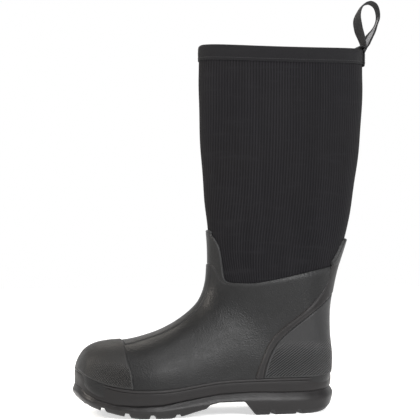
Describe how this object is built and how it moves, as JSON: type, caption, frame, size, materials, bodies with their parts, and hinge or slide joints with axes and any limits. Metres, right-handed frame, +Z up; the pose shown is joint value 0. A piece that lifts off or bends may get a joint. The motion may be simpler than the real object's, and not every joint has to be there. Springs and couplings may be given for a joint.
{
  "type": "safety boot",
  "caption": "Tall pull-on waterproof safety boot: rubber foot with steel toe cap and shank, neoprene leg under ribbed textile, lugged outsole and webbing pull loop.",
  "frame": {"origin": "on the ground under the middle of the whole boot's box, so that the tread stands on z = 0", "axes": "+Z up along the leg, -X towards the toe, -Y towards the outer side of the left foot"},
  "size_m": [0.369, 0.1228, 0.4871],
  "materials": {
    "upper_rubber": "satin, fine pebble grain",
    "trim_rubber": "smooth satin",
    "sole_rubber": "smooth satin with lugs",
    "facing_textile": "matte knit with fine upright ribs",
    "neoprene": "matte closed-cell foam",
    "lining": "matte jersey",
    "binding": "matte woven tape",
    "webbing": "woven tape with a pale stripe inside",
    "steel": "pressed, dull",
    "edge_plastic": "matte",
    "midsole_foam": "matte foam",
    "board": "pressed fibre",
    "footbed_foam": "matte foam",
    "footbed_cloth": "matte cloth"
  },
  "bodies": {
    "foot": {"outsole": "sole_rubber", "rand": "trim_rubber", "midsole": "midsole_foam", "steel_shank": "steel", "insole_board": "board", "steel_toe_cap": "steel", "toe_cap_cushion": "edge_plastic", "heel_counter": "edge_plastic", "rubber_upper": "upper_rubber", "shin_tab": "upper_rubber", "achilles_tab": "upper_rubber", "toe_bumper": "upper_rubber", "heel_overlay": "upper_rubber", "heel_band": "trim_rubber", "instep_strip": "upper_rubber", "bootie_neoprene": "neoprene", "ankle_neoprene": "neoprene", "bootie_lining": "lining", "ankle_facing": "facing_textile"},
    "leg": {"leg_neoprene": "neoprene", "leg_lining": "lining", "leg_facing": "facing_textile", "collar_binding": "binding", "loop_tail_outer": "webbing", "loop_tail_inner": "webbing"},
    "loop": {"pull_loop": "webbing"},
    "insert": {"footbed": "footbed_foam", "footbed_cover": "footbed_cloth"}
  },
  "joints": [
    {"name": "ankle_flex", "type": "hinge", "parent": "foot", "child": "leg", "pos_m": [0.04113, 0, 0.096], "axis": [0, -1, 0], "range_deg": [-6, 10], "stiffness_Nm_per_rad": 6},
    {"name": "pull_loop_swing", "type": "hinge", "parent": "leg", "child": "loop", "pos_m": [0.16663, 0, 0.4316], "axis": [0, 1, 0], "range_deg": [-35, 80], "stiffness_Nm_per_rad": 0.03},
    {"name": "footbed_lift", "type": "hinge", "parent": "foot", "child": "insert", "pos_m": [-0.16487, 0, 0.038], "axis": [0, -1, 0], "range_deg": [0, 6]}
  ]
}
